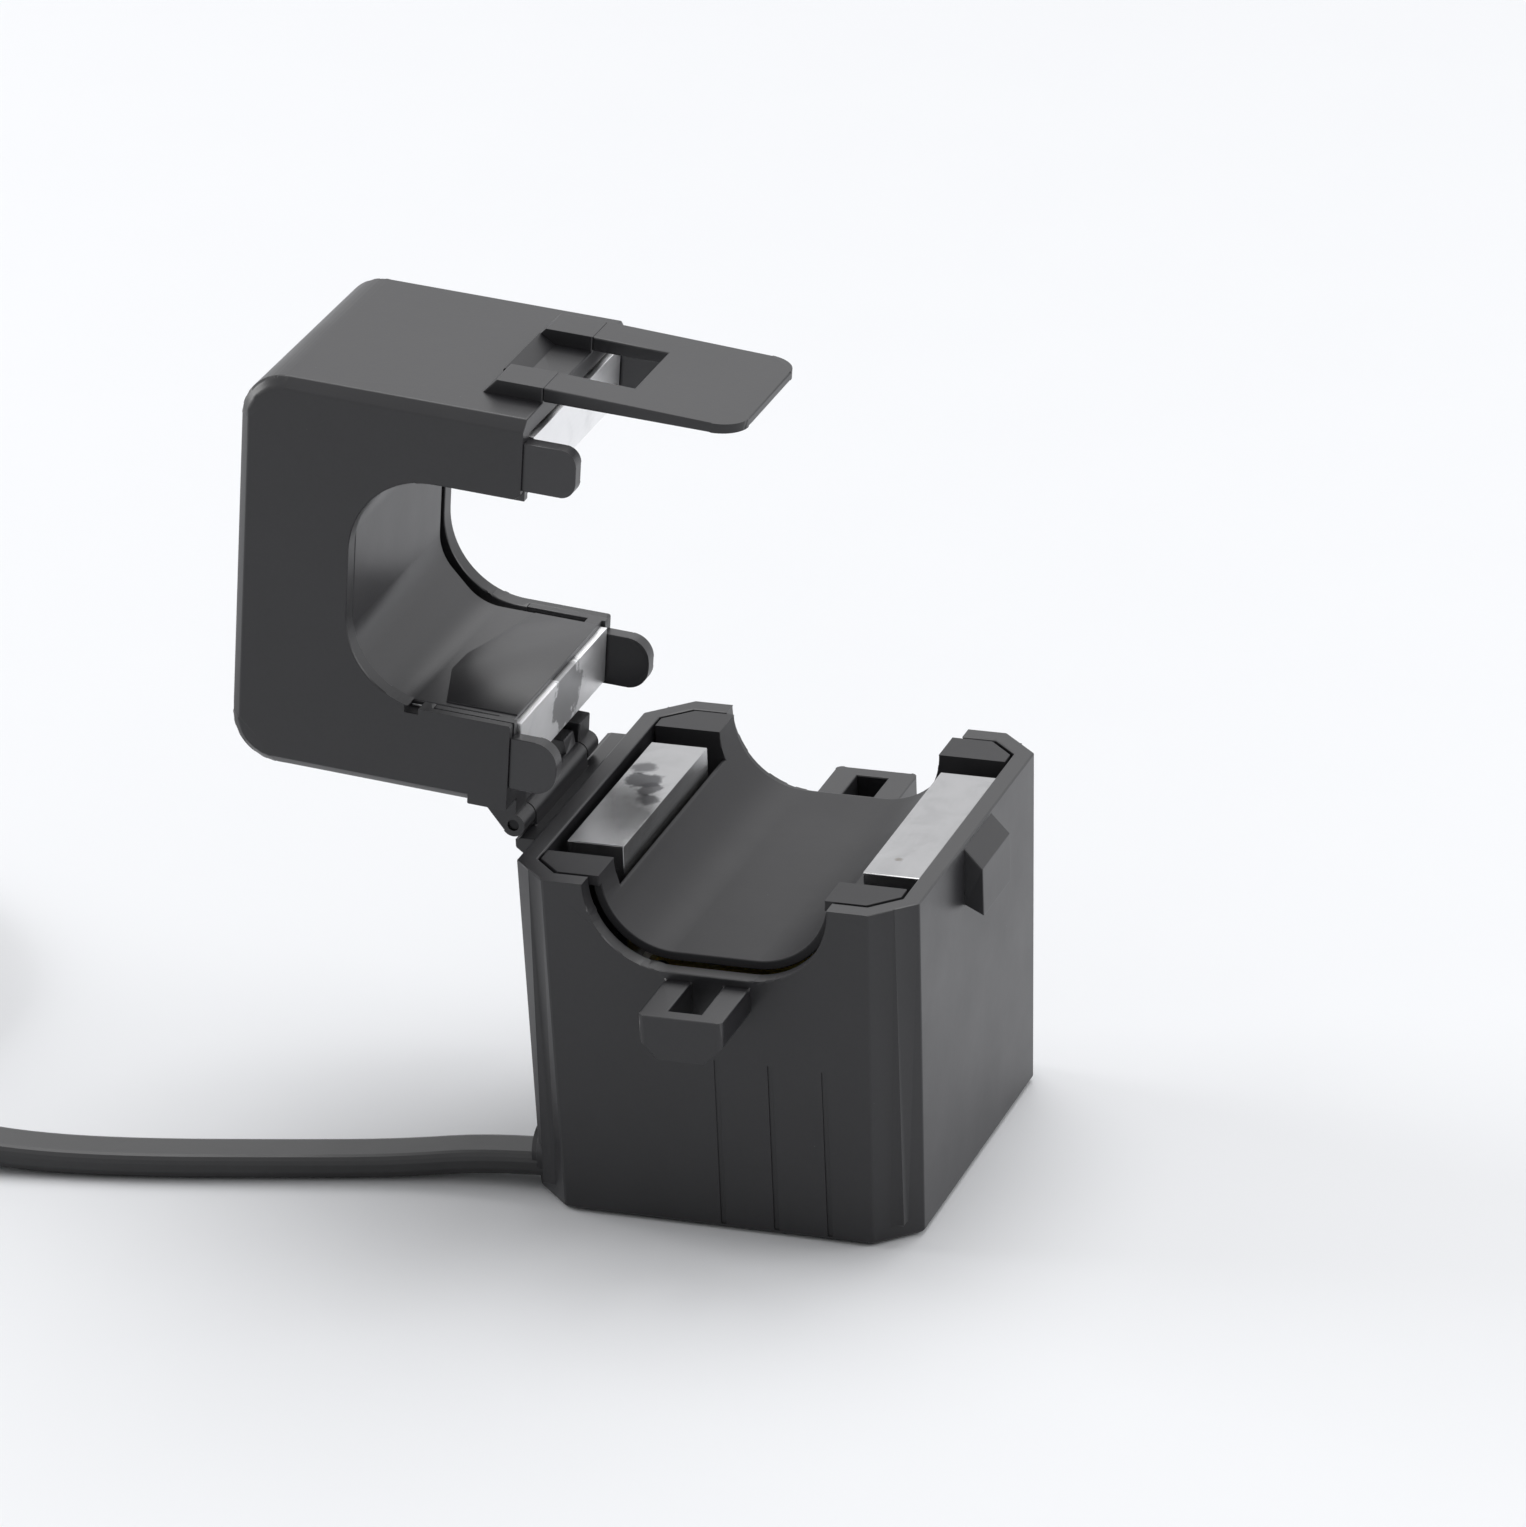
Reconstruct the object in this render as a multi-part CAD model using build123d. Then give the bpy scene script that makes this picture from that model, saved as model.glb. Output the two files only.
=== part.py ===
# Split-core current transformer, hinged and standing open, with its twin lead.
# Millimetres. X runs from the hinge to the latch, Y to the back, Z up. The origin is the
# middle of the base case's underside. The cover is drawn closed, then turned open.
from build123d import *
import math
import os

os.makedirs("parts", exist_ok=True)

# The sizes that the others follow
case_w = 45.0            # across, hinge side to latch side, at the rim
case_wall = 2.1
rim_z = 39.0             # height of the base's rim
pole_w = 6.4             # across a pole face, hinge side to latch side
core_d = 27.3            # the cores, front to back
pad_t = 1.2              # foam strip beside the lower core
half_w = case_w / 2

# Cores: the lower one lies between the foam strip and the latch side wall
core_bottom = 10.5
yoke_t = 6.4
core_r = 1.2
air_gap = 0.1
inner_x = -half_w + case_wall
core_left = inner_x + pad_t
core_right = half_w - case_wall
core_x = (core_left + core_right) / 2
pole_drop = 0.35         # pole faces below the rim
pole_z = rim_z - pole_drop
float_x = 0.35           # the open cover's core sinks this far to the hinge side

# Base case
deck_off = 3.55          # decks of the liner start this far from the core
deck_deep = 5.3
end_wall = 2.2
deck_y = core_d / 2 + deck_off
cavity_y = deck_y + deck_deep    # half depth of the inside
half_d = cavity_y + end_wall
draft = 0.75             # how much smaller each side is at the bottom
corner_cut = 4.35        # 45 degree cut on the upright corners
floor_t = 2.1
notch_clear = 0.4        # U notch to the pole
notch_deep = 9.2
notch_half = core_right - pole_w - notch_clear
notch_z = rim_z - notch_deep
notch_r = 9.1
splice_room_z = 27.0     # the post over the cord stops here, to leave room for the splices
post_w = 4.2             # corner posts that carry the liner
step_xs = (0.6, 6.6, 12.6)   # faint upright steps on the front
step_w = 0.6
step_depth = 0.15
step_top = 20.0

# Cable-tie lugs, front and back
lug_w = 9.4
lug_drop = 10.1
lug_top = rim_z - lug_drop
lug_t = 5.0
lug_out = 8.9
lug_reach = half_d + lug_out
lug_bevel = 2.2
slot_w = 3.6
slot_out = 7.0
slot_end = half_d + slot_out

# Catch on the latch side
catch_w = 9.8
catch_out = 2.0
catch_drop = 0.4
catch_slope = 2.2
catch_face = 5.5
catch_rise = 1.1
catch_top = rim_z - catch_drop
catch_slope_z = catch_top - catch_slope
catch_low = catch_slope_z - catch_face
catch_under = catch_low + catch_rise

# Hinge
hinge_out = 3.1          # pin's middle outside the wall
hinge_x = -half_w - hinge_out
hinge_up = 0.4           # pin's middle above the rim
hinge_z = rim_z + hinge_up
hinge_y0, hinge_y1 = -12.9, 10.6   # the row of knuckles, front to back
mid_y0, mid_y1 = -9.3, 7.1         # the base's own knuckle
knuckle_r = 1.3
pin_r = 0.6
pin_play = 0.05
knuckle_gap = 0.2
open_angle = 84.8
ledge_drop = 1.0         # ledge top below the rim
ledge_deep = 4.0
ledge_back = 16.5        # the ledge runs on to here behind the knuckles
stop_gap = 0.3
stop_w = 3.0
stop_reach = 3.6
cut_up = 2.5             # the cover's hinge side wall is cut back this far from the rim
cut_front = -10.5        # from here to the back

# Bobbin and winding
bobbin_wall = 1.0
bobbin_fit = 0.1
flange_t = 1.0
flange_out = 7.0         # flange height above the tube
winding_low = 1.0        # winding stays this much inside the flange
tape_t = 0.3

# Base liner
saddle_t = 1.0
saddle_clear = 0.45      # saddle to the hinge side pole
saddle_short = 0.7       # the saddle's front edge stops this far behind the wall's gap
deck_t = 1.2
deck_gap = 0.3           # parting line to the case
saddle_drop = 3.3
skirt_deep = 8.0
saddle_top = rim_z - saddle_drop
skirt_low = rim_z - skirt_deep
rail_w = 1.0

# Cover case
core_play = 0.2          # upper core to the cover's front and back walls
skin = 0.05              # a face that only just clears its neighbour
cover_d = core_d + 2 * (case_wall + core_play + skin)
rim_gap = 0.2            # between the two rims when shut
spring_room = 2.1        # over the upper core
cover_wall = 2.1
cover_r = 5.2
cover_bevel = 1.15
lining_t = 0.5
up_left = core_left - float_x
up_in_left = up_left + pole_w
up_in_right = core_right - float_x - pole_w
win_up = 19.2
win_left = up_in_left + skin + lining_t
win_right = up_in_right - skin
win_z = rim_z + win_up
win_r = 9.3
win_cut = 0.6            # small cut where the window meets the rim on the latch side
plain_up = 4.7
plain_top = rim_z + plain_up     # below this the hinge side edges have no bevel
nick_w = 1.6
nick_up = 10.6
nick_z = rim_z + nick_up

# Cover liner and its ears
facet_cut = 5.45         # the lining's corners are flat in the middle
facet_r = 6.1
line_front = skin        # front edge of the lining to the front wall
line_back = 1.1          # back edge of the lining to the back wall
ear_t = 1.7
ear_root_t = 0.95
ear_gap = 0.3            # ear to core
ear_up = 9.0
link_up = 2.0            # the ears join the lining over this height
ear_in = 0.4             # ear to the inside of the side wall
ear_side = 0.95          # ear to the pole's inner face
hinge_ear_x0 = inner_x + ear_in
hinge_ear_x1 = up_in_left - ear_side
hinge_ear_drop = 5.3     # the ears' tips below the cover's rim
hinge_ear_r = 2.5
latch_ear_x0 = up_in_right + ear_side
latch_ear_x1 = core_right - ear_in
latch_ear_drop = 5.9
latch_ear_r = 1.7

# Latch strap
strap_in = 0.1           # gap between strap and case
strap_t = 1.6
strap_half = 10.1
strap_hang = 21.6        # the strap's tip below the base's rim
strap_low = rim_z - strap_hang
strap_tip_t = 1.0
strap_r = 3.3
strap_win = 5.3
strap_win_play = 0.2     # the window's end below the catch
strap_win_up = 6.2
strap_root_up = 7.0
strap_win_low = catch_low - strap_win_play
strap_win_top = rim_z + strap_win_up
strap_root = rim_z + strap_root_up

# Spring over the upper core
leaf_t = 0.4
leaf_w = 8.0
leaf_len = 26.0

# Twin lead
cord_d = 5.4
cord_off = 3.75
cord_y = -(core_d / 2 + cord_off)    # where the cord leaves the hinge side
cord_z = 3.9
bush_r = 3.1
bush_flange_r = 3.5
bush_flange_t = 0.8
cord_run = [(-28.0, cord_y, 3.9), (-38.0, -19.6, 2.7), (-49.0, -22.6, 2.7), (-66.0, -26.9, 2.7),
            (-87.0, -29.8, 2.7), (-118.0, -30.2, 2.7)]
coil_mid = (-133.0, 2.4)
coil_r = 32.4
coil_w = 11.2
coil_h = 5.6
coil_bevel = 1.4
tie_w = 5.0
tie_t = 0.8
tie_at = 130.0           # where round the coil the tie sits
tail_len = 26.0
tail_in = 8.0
core_wire_d = 2.2
core_wire_len = 18.0
ferrule_d = 1.4
ferrule_len = 8.0
lead_d = 0.9
sleeve_d = 2.4
sleeve_len = 8.0
inner_wire_d = 1.5
core_pitch = 2.6
splice_in = 3.2
splice_x = core_left + splice_in
splice_z = 12.0
lead_over = 1.2          # leads pass this far over the bobbin's flange


def octagon(half_x, half_y, cut, z):
    """A rectangle with cut corners, lying at height z."""
    pts = [(half_x - cut, -half_y), (half_x, -half_y + cut), (half_x, half_y - cut),
           (half_x - cut, half_y), (-half_x + cut, half_y), (-half_x, half_y - cut),
           (-half_x, -half_y + cut), (-half_x + cut, -half_y)]
    return Plane.XY.offset(z) * make_face(Polyline(*pts, close=True))


def along_y(face, y0, y1):
    """Push a face drawn in X and Z from y0 to y1."""
    return extrude(Plane.XZ.offset(-y1) * face, amount=y1 - y0)


def side_shape(pts, y0, y1):
    """A polygon in X and Z, pushed from y0 to y1."""
    return along_y(make_face(Polyline(*pts, close=True)), y0, y1)


def block(x0, x1, y0, y1, z0, z1):
    return Pos((x0 + x1) / 2, (y0 + y1) / 2, (z0 + z1) / 2) * Box(x1 - x0, y1 - y0, z1 - z0)


def rounded(x0, x1, z0, z1, r, end):
    """A rectangle in X and Z with two rounded corners, at its low or its high end."""
    sk = Pos((x0 + x1) / 2, (z0 + z1) / 2) * Rectangle(x1 - x0, z1 - z0)
    rows = sk.vertices().group_by(Axis.Y)
    return fillet(rows[0] if end == "low" else rows[-1], r)


def rod_y(x, z, r, y0, y1):
    return Pos(x, (y0 + y1) / 2, z) * Rot(90, 0, 0) * Cylinder(r, y1 - y0)


def faceted(x0, x1, z0, z1, cut, r):
    """A rectangle in X and Z whose two high corners are a flat between two arcs."""
    sk = Pos((x0 + x1) / 2, (z0 + z1) / 2) * Rectangle(x1 - x0, z1 - z0)
    sk = chamfer(sk.vertices().group_by(Axis.Y)[-1], cut)
    low = sk.vertices().sort_by(Axis.Y)[0].Y
    return fillet([v for v in sk.vertices() if v.Y > low + 0.1], r)


def wire(pts, r, radius, sides=0):
    """A wire along straight runs joined by arcs; the hidden ones are eight-sided."""
    path = FilletPolyline(*pts, radius=radius)
    start = Plane(origin=path @ 0, z_dir=path % 0)
    return sweep(start * (RegularPolygon(r, sides) if sides else Circle(r)), path=path)


# Base case: a drafted bucket, with the notch, lugs, catch, ledge and knuckle moulded on
base = loft([octagon(half_w - draft, half_d - draft, corner_cut, 0),
             octagon(half_w, half_d, corner_cut, rim_z)], ruled=True)
base = chamfer(base.edges().group_by(Axis.Z)[0], 0.4)

lug_cut = slot_w / 2
for side in (-1, 1):
    y_in, y_out = side * (cavity_y + 0.5), side * lug_reach
    lug = block(-lug_w / 2, lug_w / 2, min(y_in, y_out), max(y_in, y_out), lug_top - lug_t, lug_top)
    low = lug.edges().filter_by(Axis.Y).group_by(Axis.Z)[0]
    lug = chamfer(low, lug_bevel)
    tip = lug.edges().filter_by(Axis.Z).group_by(Axis.Y)[0 if side < 0 else -1]
    lug = fillet(tip, 0.8)
    y_slot = side * slot_end
    lug -= block(-lug_cut, lug_cut, min(y_in, y_slot), max(y_in, y_slot), lug_top - lug_t - 1, lug_top + 1)
    base += lug

catch_x = half_w + catch_out
base += side_shape([(half_w - 1.0, catch_top), (half_w - 0.05, catch_top), (catch_x, catch_slope_z),
                    (catch_x, catch_low), (half_w - 0.2, catch_under), (half_w - 1.0, catch_under)],
                   -catch_w / 2, catch_w / 2)

# Hinge ledge, with room for the cover's knuckles at its two ends
ledge_z = rim_z - ledge_drop
wall_x = -half_w
ledge = side_shape([(wall_x + 0.6, ledge_z), (hinge_x + 0.2, ledge_z), (hinge_x + 0.2, ledge_z - 1.2),
                    (wall_x + 0.6, ledge_z - ledge_deep)], hinge_y0, ledge_back)
for y0, y1 in ((hinge_y0 - 1, mid_y0 - 0.05), (mid_y1 + 0.05, ledge_back + 1)):
    ledge -= rod_y(hinge_x, hinge_z, knuckle_r + stop_gap, y0, y1)
base += ledge
knuckle = rod_y(hinge_x, hinge_z, knuckle_r, mid_y0, mid_y1)
knuckle += side_shape([(hinge_x - knuckle_r, hinge_z), (hinge_x + knuckle_r, hinge_z),
                       (hinge_x + knuckle_r, ledge_z - 0.8), (hinge_x, ledge_z - 1.4),
                       (hinge_x - knuckle_r, ledge_z - 0.2)], mid_y0, mid_y1)
base += knuckle

# The stops that the open cover comes to rest against
open_rad = math.radians(open_angle)
back_x, back_z = -math.sin(open_rad), math.cos(open_rad)   # along the open cover's outer wall
out_x, out_z = math.cos(open_rad), math.sin(open_rad)      # square to that wall
wall_off = wall_x - hinge_x - stop_gap


def on_stop(along, off):
    return (hinge_x + back_x * along + out_x * off, hinge_z + back_z * along + out_z * off)


for y0 in (mid_y0 + 0.3, mid_y1 - 0.3 - stop_w):
    y1 = y0 + stop_w
    base += side_shape([on_stop(stop_reach, wall_off), on_stop(0.4, wall_off),
                        on_stop(0.0, 1.0), on_stop(0.0, 0.0), on_stop(1.2, 0.2)], y0, y1)

base -= block(-half_w + case_wall, half_w - case_wall, -cavity_y, cavity_y, floor_t, rim_z + 1)
corner_in = corner_cut - 1.4
for sx in (-1, 1):
    for sy in (-1, 1):
        cx, cy = sx * (half_w - case_wall), sy * cavity_y
        web = make_face(Polyline((cx, cy), (cx - sx * corner_in, cy), (cx, cy - sy * corner_in), close=True))
        base += extrude(Plane.XY.offset(floor_t - 0.2) * web, amount=rim_z - floor_t + 0.2)
notch = rounded(-notch_half, notch_half, notch_z, rim_z + 10, notch_r, "low")
base -= along_y(notch, -half_d - 1, half_d + 1)
base -= rod_y(hinge_x, hinge_z, pin_r, mid_y0 - 1, mid_y1 + 1)

# Faint upright steps on the front
lean = draft / rim_z
for x in step_xs:
    y_low = -(half_d - draft) + step_depth
    y_top = -(half_d - draft + lean * step_top) + step_depth
    groove = make_face(Polyline((y_low, 0.5), (y_top, step_top), (y_top - 1, step_top),
                                (y_low - 1, 0.5), close=True))
    base -= extrude(Plane.YZ.offset(x - step_w / 2) * groove, amount=step_w)

# Inside: posts under the liner's decks and rests under the core
post_top = rim_z - deck_t
for sx in (-1, 1):
    for sy in (-1, 1):
        px, py = sx * (half_w - case_wall), sy * cavity_y
        low = splice_room_z if (sx < 0 and sy < 0) else floor_t - 0.2
        base += block(min(px, px - sx * post_w), max(px, px - sx * post_w),
                      min(py, py - sy * post_w), max(py, py - sy * post_w), low, post_top)
for x0 in (core_left, core_right - pole_w):
    base += block(x0 + 0.4, x0 + pole_w - 0.4, -core_d / 2 - 0.0, core_d / 2, floor_t - 0.2, core_bottom)
    for sy in (-1, 1):
        y0, y1 = sorted((sy * core_d / 2, sy * (core_d / 2 + 1.2)))
        base += block(x0 + 0.4, x0 + pole_w - 0.4, y0, y1, floor_t - 0.2, core_bottom + 4)
hole_len = 4 * case_wall
base -= Pos(inner_x - case_wall, cord_y, cord_z) * Rot(0, 90, 0) * Cylinder(bush_r, hole_len)
base -= Pos(inner_x + bush_flange_t / 2, cord_y, cord_z) * Rot(0, 90, 0) * Cylinder(
    bush_flange_r, bush_flange_t)
export_step(base, "parts/base_case.step")

# Lower core: a U with its two polished pole faces up
u_out = block(core_left, core_right, -core_d / 2, core_d / 2, core_bottom, pole_z)
u_in = block(core_left + pole_w, core_right - pole_w, -core_d, core_d, core_bottom + yoke_t, pole_z + 1)
lower_core = u_out - u_in
lower_core = chamfer(lower_core.edges().filter_by(Axis.Y).group_by(Axis.Z)[0], core_r)
export_step(lower_core, "parts/lower_core.step")

# Foam strip between the core and the hinge side wall
pad_drop = 5.5
pad_top = rim_z - pad_drop
pad = block(inner_x, core_left, -core_d / 2 + 2, core_d / 2 - 2, core_bottom, pad_top)
export_step(pad, "parts/core_pad.step")

# Bobbin round the yoke
bob_l, bob_r = core_left + pole_w, core_right - pole_w
tube_y = core_d / 2 + bobbin_fit
tube_z0, tube_z1 = core_bottom - bobbin_fit, core_bottom + yoke_t + bobbin_fit
out_y, out_z0, out_z1 = tube_y + bobbin_wall, tube_z0 - bobbin_wall, tube_z1 + bobbin_wall
bobbin = block(bob_l, bob_r, -out_y, out_y, out_z0, out_z1)
flange_y, flange_z0, flange_z1 = out_y + flange_out - 1, out_z0 - flange_out + 1, out_z1 + flange_out - 1
for x0 in (bob_l, bob_r - flange_t):
    flange = block(x0, x0 + flange_t, -flange_y, flange_y, flange_z0, flange_z1)
    bobbin += fillet(flange.edges().filter_by(Axis.X), 2.0)
bobbin -= block(bob_l - 1, bob_r + 1, -tube_y, tube_y, tube_z0, tube_z1)
export_step(bobbin, "parts/bobbin.step")

# Winding, a rounded ring of wire round the bobbin, and its tape
win_grow = flange_out - 1 - winding_low - tape_t
wind = block(bob_l + flange_t, bob_r - flange_t, -out_y - win_grow, out_y + win_grow,
             out_z0 - win_grow, out_z1 + win_grow)
wind = fillet(wind.edges().filter_by(Axis.X), 2.4)
hole = block(bob_l, bob_r, -out_y, out_y, out_z0, out_z1)
winding = wind - hole
export_step(winding, "parts/secondary_winding.step")
tape = block(bob_l + flange_t, bob_r - flange_t, -out_y - win_grow - tape_t, out_y + win_grow + tape_t,
             out_z0 - win_grow - tape_t, out_z1 + win_grow + tape_t)
tape = fillet(tape.edges().filter_by(Axis.X), 2.4 + tape_t) - wind
export_step(tape, "parts/winding_tape.step")
tape_top = out_z1 + win_grow + tape_t

# Base liner: two decks joined by the curved saddle
left_in, right_in = inner_x + deck_gap, half_w - case_wall - deck_gap
liner_y = cavity_y - deck_gap
saddle_in = notch_half - saddle_t
saddle_out = along_y(rounded(-notch_half, notch_half, notch_z, rim_z, notch_r, "low"),
                     -liner_y + saddle_short, liner_y)
bowl = along_y(rounded(-saddle_in, saddle_in, notch_z + saddle_t, rim_z + 9, notch_r - saddle_t, "low"),
               -liner_y - 1, liner_y + 1)
liner = saddle_out
for side in (-1, 1):
    y0, y1 = sorted((side * deck_y, side * liner_y))
    plate = block(left_in, right_in, y0, y1, rim_z - deck_t, rim_z)
    up = plate.edges().filter_by(Axis.Z).group_by(Axis.Y)[0 if side < 0 else -1]
    plate = chamfer(up, corner_cut - 1.4)
    skirt_y0, skirt_y1 = sorted((side * deck_y, side * (deck_y + rail_w)))
    skirt = block(left_in, right_in, skirt_y0, skirt_y1, skirt_low, rim_z)
    liner += plate + skirt
liner -= bowl
liner -= block(-notch_half - 1, core_right, -deck_y, deck_y, saddle_top, rim_z + 1)
liner -= block(-notch_half - 1, bob_l + saddle_clear, -deck_y, deck_y, notch_z - 1, rim_z + 1)
right_over = core_right - pole_w
for side in (-1, 1):
    liner -= block(right_over - 0.4, right_in + 1, -deck_y, deck_y, skirt_low - 1, rim_z + 1)
export_step(liner, "parts/base_liner.step")

# Hinge pin
pin = rod_y(hinge_x, hinge_z, pin_r, hinge_y0 + 0.3, hinge_y1 - 0.3)
export_step(pin, "parts/hinge_pin.step")

# The cover is drawn closed and then turned about the hinge pin
hinge_axis = Axis((hinge_x, 0, hinge_z), (0, 1, 0))


def opened(shape):
    return shape.rotate(hinge_axis, -open_angle)


cover_z0 = rim_z + rim_gap
up_face = pole_z + air_gap
up_h = pole_z - core_bottom
cover_z1 = up_face + up_h + spring_room + cover_wall
cover_y = cover_d / 2
cover_face = rounded(-half_w, half_w, cover_z0, cover_z1, cover_r, "high")
cover = along_y(cover_face, -cover_y, cover_y)
edges = [e for e in cover.edges()
         if abs(abs(e.center().Y) - cover_y) < 0.01 and e.center().Z > cover_z0 + 0.5]
cover = chamfer(edges, cover_bevel)
cover += block(-half_w, -half_w + cover_bevel + 0.4, -cover_y, cover_y, cover_z0, plain_top)
inner_y = core_d / 2 + core_play
cavity = along_y(rounded(inner_x, core_right, cover_z0 - 1, cover_z1 - cover_wall,
                         cover_r - cover_wall, "high"), -inner_y, inner_y)
cover -= cavity
window = rounded(win_left, win_right, cover_z0 - 5, win_z, win_r, "high")
cover -= along_y(window, -cover_y - 1, cover_y + 1)
cover -= block(win_left - 0.6, win_left + 0.2, -cover_y - 1, -inner_y + 0.2, nick_z, nick_z + nick_w)
cover -= side_shape([(win_right - 0.1, cover_z0 - 0.1), (win_right + win_cut, cover_z0 - 0.1),
                     (win_right + win_cut, cover_z0), (win_right, cover_z0 + win_cut),
                     (win_right - 0.1, cover_z0 + win_cut)], -cover_y - 1, cover_y + 1)

# Recesses inside the front and back walls for the roots of the ears
ear_y0 = core_d / 2 + ear_gap
root_y1 = ear_y0 + ear_root_t
ear_y1 = ear_y0 + ear_t
ears = [(hinge_ear_x0, hinge_ear_x1, cover_z0 - hinge_ear_drop, hinge_ear_r),
        (latch_ear_x0, latch_ear_x1, cover_z0 - latch_ear_drop, latch_ear_r)]
for side in (-1, 1):
    y0, y1 = sorted((side * (inner_y - 0.2), side * root_y1))
    cover -= block(hinge_ear_x0, win_left + 0.1, y0, y1, cover_z0 - 1, cover_z0 + ear_up)
    cover -= block(win_right - 0.1, latch_ear_x1, y0, y1, cover_z0 - 1, cover_z0 + ear_up)

# The hinge side wall is cut back behind the knuckles
cover -= block(-half_w - 1, inner_x + 0.3, cut_front, cover_y + 1, cover_z0 - 1, cover_z0 + cut_up)

# Knuckles and their webs on the hinge side
for y0, y1 in ((hinge_y0, mid_y0 - knuckle_gap), (mid_y1 + knuckle_gap, hinge_y1)):
    cover += rod_y(hinge_x, hinge_z, knuckle_r, y0, y1)
    cover += side_shape([(wall_x + 0.3, cover_z0), (wall_x + 0.3, cover_z0 + 5.0),
                         (hinge_x - 0.92, hinge_z + 0.92), (hinge_x, hinge_z),
                         (hinge_x + 0.5, cover_z0)], y0, y1)
    cover -= rod_y(hinge_x, hinge_z, pin_r + pin_play, y0 - 1, y1 + 1)

# The strap's root is moulded on the latch side; the free strap bends below it
root_x0, root_x1 = half_w, half_w + strap_in + strap_t
root = side_shape([(root_x0 - 0.1, cover_z0), (root_x1, cover_z0), (root_x1, strap_root - 1.5),
                   (root_x0, strap_root), (root_x0 - 0.1, strap_root)], -strap_half, strap_half)
root -= block(root_x0, root_x1 + 1, -strap_win, strap_win, cover_z0 - 1, strap_win_top)
cover += root
export_step(opened(cover), "parts/cover_case.step")

# Latch strap: tapered, with the window that snaps over the catch
strap_x0 = half_w + strap_in
strap = side_shape([(strap_x0, cover_z0), (strap_x0 + strap_t, cover_z0),
                    (strap_x0 + strap_tip_t, strap_low), (strap_x0, strap_low)], -strap_half, strap_half)
tips = strap.edges().filter_by(Axis.X).group_by(Axis.Z)[0]
strap = fillet(tips, strap_r)
strap -= block(strap_x0 - 1, strap_x0 + 4, -strap_win, strap_win, strap_win_low, cover_z0 + 1)
export_step(opened(strap), "parts/latch_strap.step")

# Cover liner: the lining, flat in its corners, with four ears that sit in the walls' recesses
line_y0, line_y1 = -inner_y + line_front, inner_y - line_back
lining_left, lining_right = win_left - lining_t, win_right
lining = along_y(faceted(lining_left, lining_right, cover_z0 + 0.3, win_z + lining_t,
                         facet_cut, facet_r), line_y0, line_y1)
lining -= along_y(faceted(lining_left + lining_t, lining_right - lining_t, cover_z0 - 2, win_z,
                          facet_cut - 0.3, facet_r - 0.5), line_y0 - 1, line_y1 + 1)
for side in (-1, 1):
    for x0, x1, z0, r in ears:
        y0, y1 = sorted((side * ear_y0, side * ear_y1))
        ear = along_y(rounded(x0, x1, z0, cover_z0, r, "low"), y0, y1)
        root_x0, root_x1 = (x0, win_left) if x1 < 0 else (win_right - lining_t, x1)
        y0, y1 = sorted((side * ear_y0, side * root_y1))
        root = block(root_x0, root_x1, y0, y1, cover_z0 - 0.1, cover_z0 + ear_up)
        link_x = lining_left if x1 < 0 else win_right - lining_t
        y0, y1 = sorted((side * (ear_y0 + 0.2), side * (inner_y - line_back - 0.5)))
        link = block(link_x, link_x + lining_t, y0, y1, cover_z0 + 0.3, cover_z0 + link_up)
        lining += ear + root + link
export_step(opened(lining), "parts/cover_liner.step")

# Upper core, the same U the other way up
up_right = core_right - float_x
u_out = block(up_left, up_right, -core_d / 2, core_d / 2, up_face, up_face + up_h)
u_in = block(up_in_left, up_in_right, -core_d, core_d, up_face - 1, up_face + up_h - yoke_t)
upper_core = u_out - u_in
upper_core = chamfer(upper_core.edges().filter_by(Axis.Y).group_by(Axis.Z)[-1], core_r)
export_step(opened(upper_core), "parts/upper_core.step")

# Leaf spring between the upper core and the top of the cover
gap_low, gap_high = up_face + up_h, cover_z1 - cover_wall
half_leaf = leaf_len / 2
arc_line = ThreePointArc((core_x - half_leaf, 0, gap_low + leaf_t), (core_x, 0, gap_high - leaf_t / 2),
                         (core_x + half_leaf, 0, gap_low + leaf_t))
leaf_plane = Plane(origin=arc_line @ 0, z_dir=arc_line % 0, x_dir=(0, 1, 0))
leaf = sweep(leaf_plane * Rectangle(leaf_w, leaf_t), path=arc_line)
export_step(opened(leaf), "parts/core_spring.step")

# Cord bush in the case wall, with its flange inside
bush_x0 = -half_w + draft * (1 - cord_z / rim_z) - 0.05
bush = Pos((bush_x0 + inner_x + bush_flange_t) / 2, cord_y, cord_z) * Rot(0, 90, 0) * Cylinder(
    bush_r, inner_x + bush_flange_t - bush_x0)
bush += Pos(inner_x + bush_flange_t / 2, cord_y, cord_z) * Rot(0, 90, 0) * Cylinder(
    bush_flange_r, bush_flange_t)
bush -= Pos(inner_x, cord_y, cord_z) * Rot(0, 90, 0) * Cylinder(cord_d / 2, hole_len)
export_step(bush, "parts/cord_bush.step")

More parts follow.
